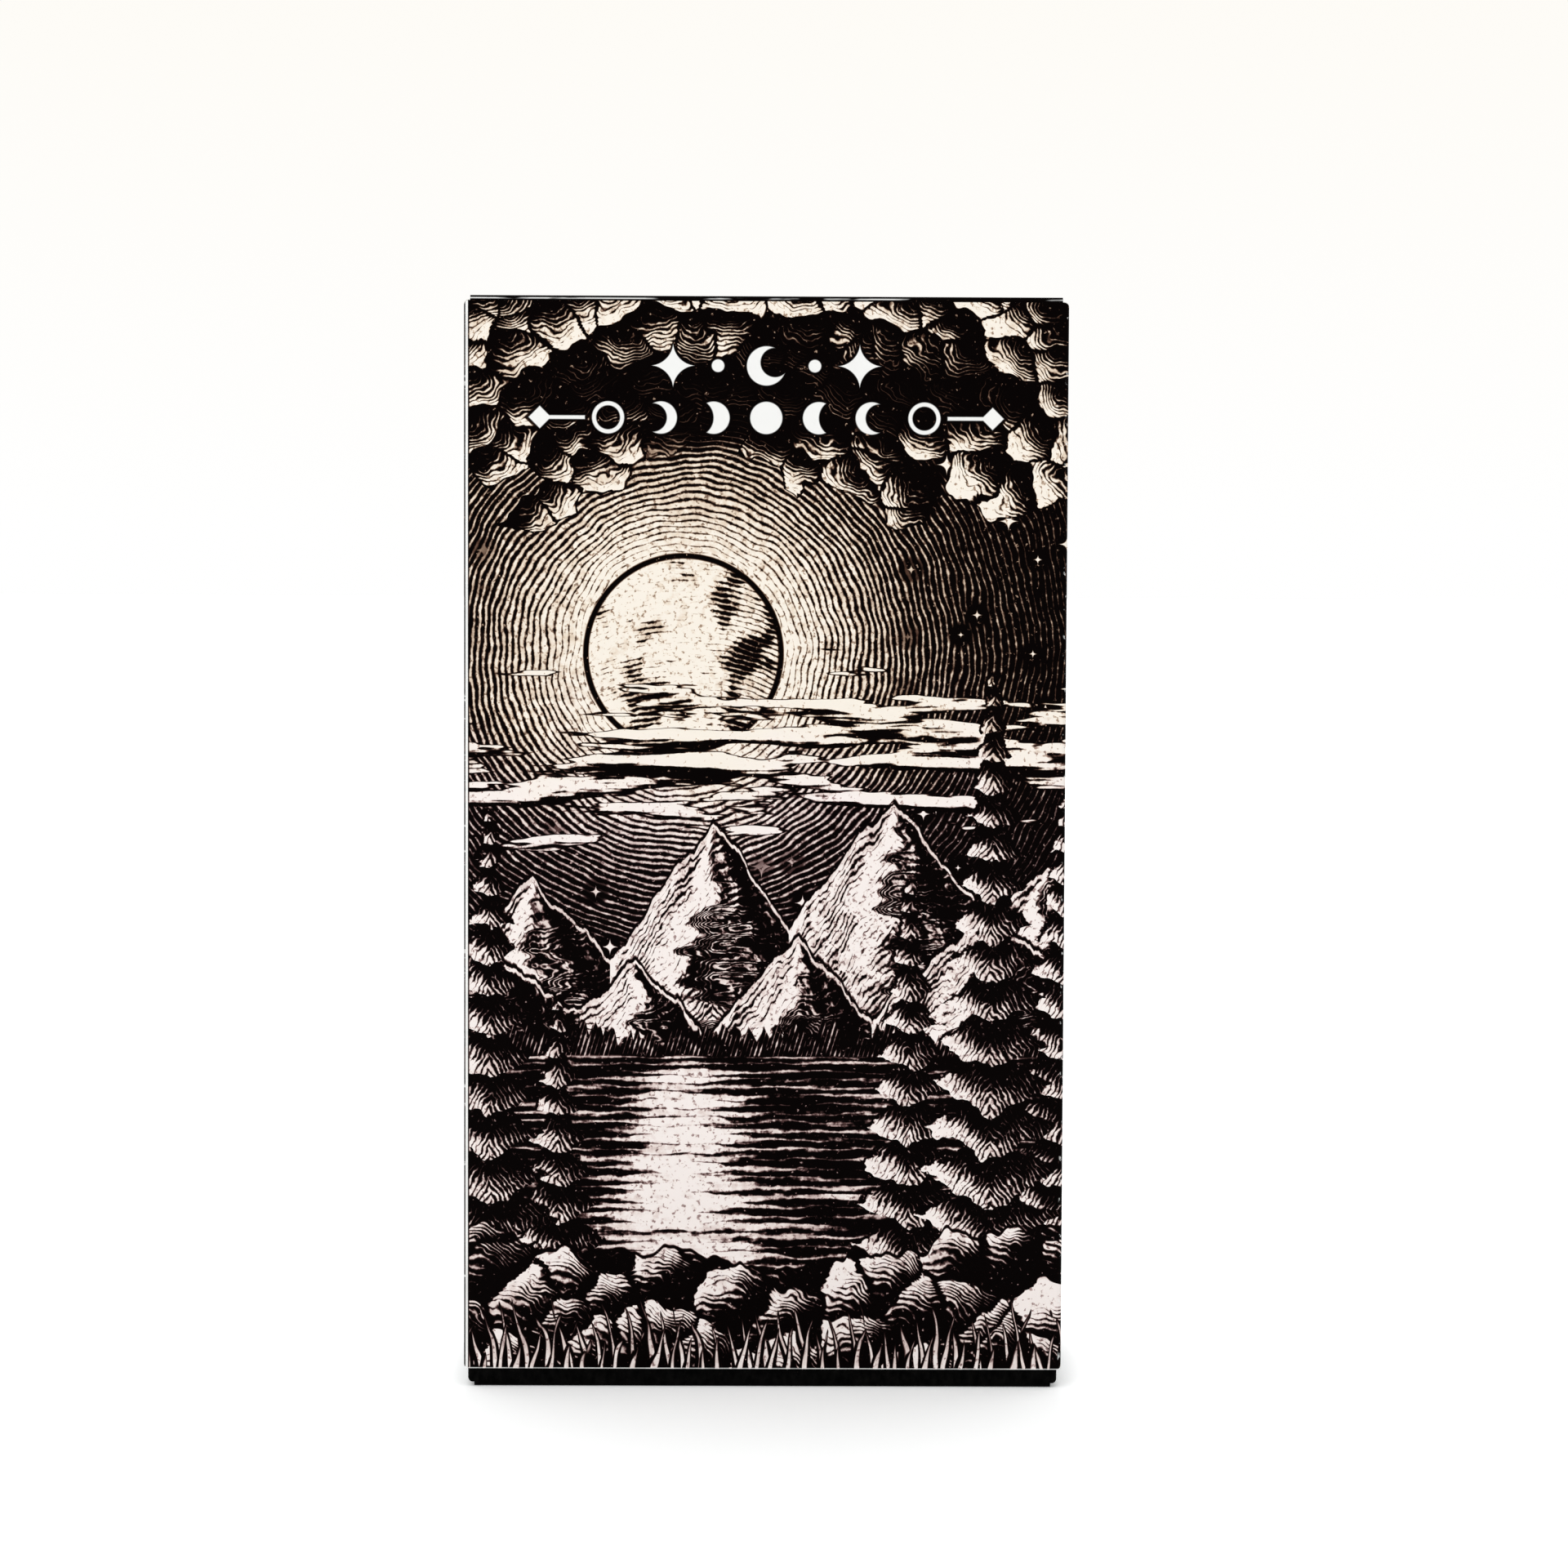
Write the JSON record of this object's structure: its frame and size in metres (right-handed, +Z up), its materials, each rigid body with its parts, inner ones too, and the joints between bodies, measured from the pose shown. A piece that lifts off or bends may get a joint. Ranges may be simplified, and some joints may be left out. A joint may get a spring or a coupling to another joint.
{
  "type": "tarot card deck",
  "caption": "Deck of tarot cards with a stapled booklet in a two-piece folded carton that stands on end; a deep printed lid slides up off a black tray.",
  "frame": {"origin": "middle of the carton's footprint, on the surface it stands on", "axes": "+Z up along the carton's height and the way the lid lifts, -Y the printed front of the lid, +X to the right seen from the front"},
  "size_m": [0.07, 0.033, 0.1273],
  "materials": {
    "printed_board": "glossy laminate over full-bleed cream and black print, white raw edges",
    "black_board": "satin black",
    "card_stock": "printed, with a satin varnish",
    "booklet_cover_paper": "printed, satin",
    "booklet_paper": "uncoated, matt",
    "staple_wire": "bright wire"
  },
  "bodies": {
    "tray": {"tray": "black_board"},
    "lid": {"lid": "printed_board"},
    "trump_00": {"trump_00": "card_stock"},
    "trump_01": {"trump_01": "card_stock"},
    "trump_02": {"trump_02": "card_stock"},
    "trump_03": {"trump_03": "card_stock"},
    "trump_04": {"trump_04": "card_stock"},
    "trump_05": {"trump_05": "card_stock"},
    "trump_06": {"trump_06": "card_stock"},
    "trump_07": {"trump_07": "card_stock"},
    "trump_08": {"trump_08": "card_stock"},
    "trump_09": {"trump_09": "card_stock"},
    "trump_10": {"trump_10": "card_stock"},
    "trump_11": {"trump_11": "card_stock"},
    "trump_12": {"trump_12": "card_stock"},
    "trump_13": {"trump_13": "card_stock"},
    "trump_14": {"trump_14": "card_stock"},
    "trump_15": {"trump_15": "card_stock"},
    "trump_16": {"trump_16": "card_stock"},
    "trump_17": {"trump_17": "card_stock"},
    "trump_18": {"trump_18": "card_stock"},
    "trump_19": {"trump_19": "card_stock"},
    "trump_20": {"trump_20": "card_stock"},
    "trump_21": {"trump_21": "card_stock"},
    "wands_page": {"wands_page": "card_stock"},
    "wands_knight": {"wands_knight": "card_stock"},
    "wands_queen": {"wands_queen": "card_stock"},
    "wands_king": {"wands_king": "card_stock"},
    "wands_pips": {"wands_pips": "card_stock"},
    "cups_page": {"cups_page": "card_stock"},
    "cups_knight": {"cups_knight": "card_stock"},
    "cups_queen": {"cups_queen": "card_stock"},
    "cups_king": {"cups_king": "card_stock"},
    "cups_pips": {"cups_pips": "card_stock"},
    "swords_page": {"swords_page": "card_stock"},
    "swords_knight": {"swords_knight": "card_stock"},
    "swords_queen": {"swords_queen": "card_stock"},
    "swords_king": {"swords_king": "card_stock"},
    "swords_pips": {"swords_pips": "card_stock"},
    "coins_page": {"coins_page": "card_stock"},
    "coins_knight": {"coins_knight": "card_stock"},
    "coins_queen": {"coins_queen": "card_stock"},
    "coins_king": {"coins_king": "card_stock"},
    "coins_pips": {"coins_pips": "card_stock"},
    "booklet": {"booklet_cover": "booklet_cover_paper", "booklet_sheet_1": "booklet_paper", "booklet_sheet_2": "booklet_paper", "booklet_sheet_3": "booklet_paper", "booklet_sheet_4": "booklet_paper", "booklet_sheet_5": "booklet_paper", "booklet_sheet_6": "booklet_paper", "booklet_sheet_7": "booklet_paper", "booklet_sheet_8": "booklet_paper", "booklet_staples": "staple_wire"}
  },
  "joints": [
    {"name": "lid_lift", "type": "slide", "parent": "tray", "child": "lid", "axis": [0, 0, 1], "range_m": [0, 0.3]},
    {"name": "trump_00_lift", "type": "slide", "parent": "tray", "child": "trump_00", "axis": [0, 0, 1], "range_m": [0, 0.12801]},
    {"name": "trump_01_lift", "type": "slide", "parent": "tray", "child": "trump_01", "axis": [0, 0, 1], "range_m": [0, 0.12879]},
    {"name": "trump_02_lift", "type": "slide", "parent": "tray", "child": "trump_02", "axis": [0, 0, 1], "range_m": [0, 0.12957]},
    {"name": "trump_03_lift", "type": "slide", "parent": "tray", "child": "trump_03", "axis": [0, 0, 1], "range_m": [0, 0.13035]},
    {"name": "trump_04_lift", "type": "slide", "parent": "tray", "child": "trump_04", "axis": [0, 0, 1], "range_m": [0, 0.13113]},
    {"name": "trump_05_lift", "type": "slide", "parent": "tray", "child": "trump_05", "axis": [0, 0, 1], "range_m": [0, 0.13191]},
    {"name": "trump_06_lift", "type": "slide", "parent": "tray", "child": "trump_06", "axis": [0, 0, 1], "range_m": [0, 0.13269]},
    {"name": "trump_07_lift", "type": "slide", "parent": "tray", "child": "trump_07", "axis": [0, 0, 1], "range_m": [0, 0.13347]},
    {"name": "trump_08_lift", "type": "slide", "parent": "tray", "child": "trump_08", "axis": [0, 0, 1], "range_m": [0, 0.13425]},
    {"name": "trump_09_lift", "type": "slide", "parent": "tray", "child": "trump_09", "axis": [0, 0, 1], "range_m": [0, 0.13503]},
    {"name": "trump_10_lift", "type": "slide", "parent": "tray", "child": "trump_10", "axis": [0, 0, 1], "range_m": [0, 0.13581]},
    {"name": "trump_11_lift", "type": "slide", "parent": "tray", "child": "trump_11", "axis": [0, 0, 1], "range_m": [0, 0.13659]},
    {"name": "trump_12_lift", "type": "slide", "parent": "tray", "child": "trump_12", "axis": [0, 0, 1], "range_m": [0, 0.13737]},
    {"name": "trump_13_lift", "type": "slide", "parent": "tray", "child": "trump_13", "axis": [0, 0, 1], "range_m": [0, 0.13815]},
    {"name": "trump_14_lift", "type": "slide", "parent": "tray", "child": "trump_14", "axis": [0, 0, 1], "range_m": [0, 0.13893]},
    {"name": "trump_15_lift", "type": "slide", "parent": "tray", "child": "trump_15", "axis": [0, 0, 1], "range_m": [0, 0.13971]},
    {"name": "trump_16_lift", "type": "slide", "parent": "tray", "child": "trump_16", "axis": [0, 0, 1], "range_m": [0, 0.14049]},
    {"name": "trump_17_lift", "type": "slide", "parent": "tray", "child": "trump_17", "axis": [0, 0, 1], "range_m": [0, 0.14127]},
    {"name": "trump_18_lift", "type": "slide", "parent": "tray", "child": "trump_18", "axis": [0, 0, 1], "range_m": [0, 0.14205]},
    {"name": "trump_19_lift", "type": "slide", "parent": "tray", "child": "trump_19", "axis": [0, 0, 1], "range_m": [0, 0.14283]},
    {"name": "trump_20_lift", "type": "slide", "parent": "tray", "child": "trump_20", "axis": [0, 0, 1], "range_m": [0, 0.14361]},
    {"name": "trump_21_lift", "type": "slide", "parent": "tray", "child": "trump_21", "axis": [0, 0, 1], "range_m": [0, 0.14439]},
    {"name": "wands_page_lift", "type": "slide", "parent": "tray", "child": "wands_page", "axis": [0, 0, 1], "range_m": [0, 0.14829]},
    {"name": "wands_knight_lift", "type": "slide", "parent": "tray", "child": "wands_knight", "axis": [0, 0, 1], "range_m": [0, 0.14907]},
    {"name": "wands_queen_lift", "type": "slide", "parent": "tray", "child": "wands_queen", "axis": [0, 0, 1], "range_m": [0, 0.14985]},
    {"name": "wands_king_lift", "type": "slide", "parent": "tray", "child": "wands_king", "axis": [0, 0, 1], "range_m": [0, 0.15063]},
    {"name": "wands_pips_lift", "type": "slide", "parent": "tray", "child": "wands_pips", "axis": [0, 0, 1], "range_m": [0, 0.15141]},
    {"name": "cups_page_lift", "type": "slide", "parent": "tray", "child": "cups_page", "axis": [0, 0, 1], "range_m": [0, 0.15531]},
    {"name": "cups_knight_lift", "type": "slide", "parent": "tray", "child": "cups_knight", "axis": [0, 0, 1], "range_m": [0, 0.15609]},
    {"name": "cups_queen_lift", "type": "slide", "parent": "tray", "child": "cups_queen", "axis": [0, 0, 1], "range_m": [0, 0.15687]},
    {"name": "cups_king_lift", "type": "slide", "parent": "tray", "child": "cups_king", "axis": [0, 0, 1], "range_m": [0, 0.15765]},
    {"name": "cups_pips_lift", "type": "slide", "parent": "tray", "child": "cups_pips", "axis": [0, 0, 1], "range_m": [0, 0.15843]},
    {"name": "swords_page_lift", "type": "slide", "parent": "tray", "child": "swords_page", "axis": [0, 0, 1], "range_m": [0, 0.16233]},
    {"name": "swords_knight_lift", "type": "slide", "parent": "tray", "child": "swords_knight", "axis": [0, 0, 1], "range_m": [0, 0.16311]},
    {"name": "swords_queen_lift", "type": "slide", "parent": "tray", "child": "swords_queen", "axis": [0, 0, 1], "range_m": [0, 0.16389]},
    {"name": "swords_king_lift", "type": "slide", "parent": "tray", "child": "swords_king", "axis": [0, 0, 1], "range_m": [0, 0.16467]},
    {"name": "swords_pips_lift", "type": "slide", "parent": "tray", "child": "swords_pips", "axis": [0, 0, 1], "range_m": [0, 0.16545]},
    {"name": "coins_page_lift", "type": "slide", "parent": "tray", "child": "coins_page", "axis": [0, 0, 1], "range_m": [0, 0.16935]},
    {"name": "coins_knight_lift", "type": "slide", "parent": "tray", "child": "coins_knight", "axis": [0, 0, 1], "range_m": [0, 0.17013]},
    {"name": "coins_queen_lift", "type": "slide", "parent": "tray", "child": "coins_queen", "axis": [0, 0, 1], "range_m": [0, 0.17091]},
    {"name": "coins_king_lift", "type": "slide", "parent": "tray", "child": "coins_king", "axis": [0, 0, 1], "range_m": [0, 0.17169]},
    {"name": "coins_pips_lift", "type": "slide", "parent": "tray", "child": "coins_pips", "axis": [0, 0, 1], "range_m": [0, 0.17247]},
    {"name": "booklet_lift", "type": "slide", "parent": "tray", "child": "booklet", "axis": [0, 0, 1], "range_m": [0, 0.17637]}
  ],
  "couplings": [
    {"joint": "trump_00_lift", "follows": "lid_lift", "ratio": 0.4267},
    {"joint": "trump_01_lift", "follows": "lid_lift", "ratio": 0.4293},
    {"joint": "trump_02_lift", "follows": "lid_lift", "ratio": 0.4319},
    {"joint": "trump_03_lift", "follows": "lid_lift", "ratio": 0.4345},
    {"joint": "trump_04_lift", "follows": "lid_lift", "ratio": 0.4371},
    {"joint": "trump_05_lift", "follows": "lid_lift", "ratio": 0.4397},
    {"joint": "trump_06_lift", "follows": "lid_lift", "ratio": 0.4423},
    {"joint": "trump_07_lift", "follows": "lid_lift", "ratio": 0.4449},
    {"joint": "trump_08_lift", "follows": "lid_lift", "ratio": 0.4475},
    {"joint": "trump_09_lift", "follows": "lid_lift", "ratio": 0.4501},
    {"joint": "trump_10_lift", "follows": "lid_lift", "ratio": 0.4527},
    {"joint": "trump_11_lift", "follows": "lid_lift", "ratio": 0.4553},
    {"joint": "trump_12_lift", "follows": "lid_lift", "ratio": 0.4579},
    {"joint": "trump_13_lift", "follows": "lid_lift", "ratio": 0.4605},
    {"joint": "trump_14_lift", "follows": "lid_lift", "ratio": 0.4631},
    {"joint": "trump_15_lift", "follows": "lid_lift", "ratio": 0.4657},
    {"joint": "trump_16_lift", "follows": "lid_lift", "ratio": 0.4683},
    {"joint": "trump_17_lift", "follows": "lid_lift", "ratio": 0.4709},
    {"joint": "trump_18_lift", "follows": "lid_lift", "ratio": 0.4735},
    {"joint": "trump_19_lift", "follows": "lid_lift", "ratio": 0.4761},
    {"joint": "trump_20_lift", "follows": "lid_lift", "ratio": 0.4787},
    {"joint": "trump_21_lift", "follows": "lid_lift", "ratio": 0.4813},
    {"joint": "wands_page_lift", "follows": "lid_lift", "ratio": 0.4943},
    {"joint": "wands_knight_lift", "follows": "lid_lift", "ratio": 0.4969},
    {"joint": "wands_queen_lift", "follows": "lid_lift", "ratio": 0.4995},
    {"joint": "wands_king_lift", "follows": "lid_lift", "ratio": 0.5021},
    {"joint": "wands_pips_lift", "follows": "lid_lift", "ratio": 0.5047},
    {"joint": "cups_page_lift", "follows": "lid_lift", "ratio": 0.5177},
    {"joint": "cups_knight_lift", "follows": "lid_lift", "ratio": 0.5203},
    {"joint": "cups_queen_lift", "follows": "lid_lift", "ratio": 0.5229},
    {"joint": "cups_king_lift", "follows": "lid_lift", "ratio": 0.5255},
    {"joint": "cups_pips_lift", "follows": "lid_lift", "ratio": 0.5281},
    {"joint": "swords_page_lift", "follows": "lid_lift", "ratio": 0.5411},
    {"joint": "swords_knight_lift", "follows": "lid_lift", "ratio": 0.5437},
    {"joint": "swords_queen_lift", "follows": "lid_lift", "ratio": 0.5463},
    {"joint": "swords_king_lift", "follows": "lid_lift", "ratio": 0.5489},
    {"joint": "swords_pips_lift", "follows": "lid_lift", "ratio": 0.5515},
    {"joint": "coins_page_lift", "follows": "lid_lift", "ratio": 0.5645},
    {"joint": "coins_knight_lift", "follows": "lid_lift", "ratio": 0.5671},
    {"joint": "coins_queen_lift", "follows": "lid_lift", "ratio": 0.5697},
    {"joint": "coins_king_lift", "follows": "lid_lift", "ratio": 0.5723},
    {"joint": "coins_pips_lift", "follows": "lid_lift", "ratio": 0.5749},
    {"joint": "booklet_lift", "follows": "lid_lift", "ratio": 0.5879}
  ]
}
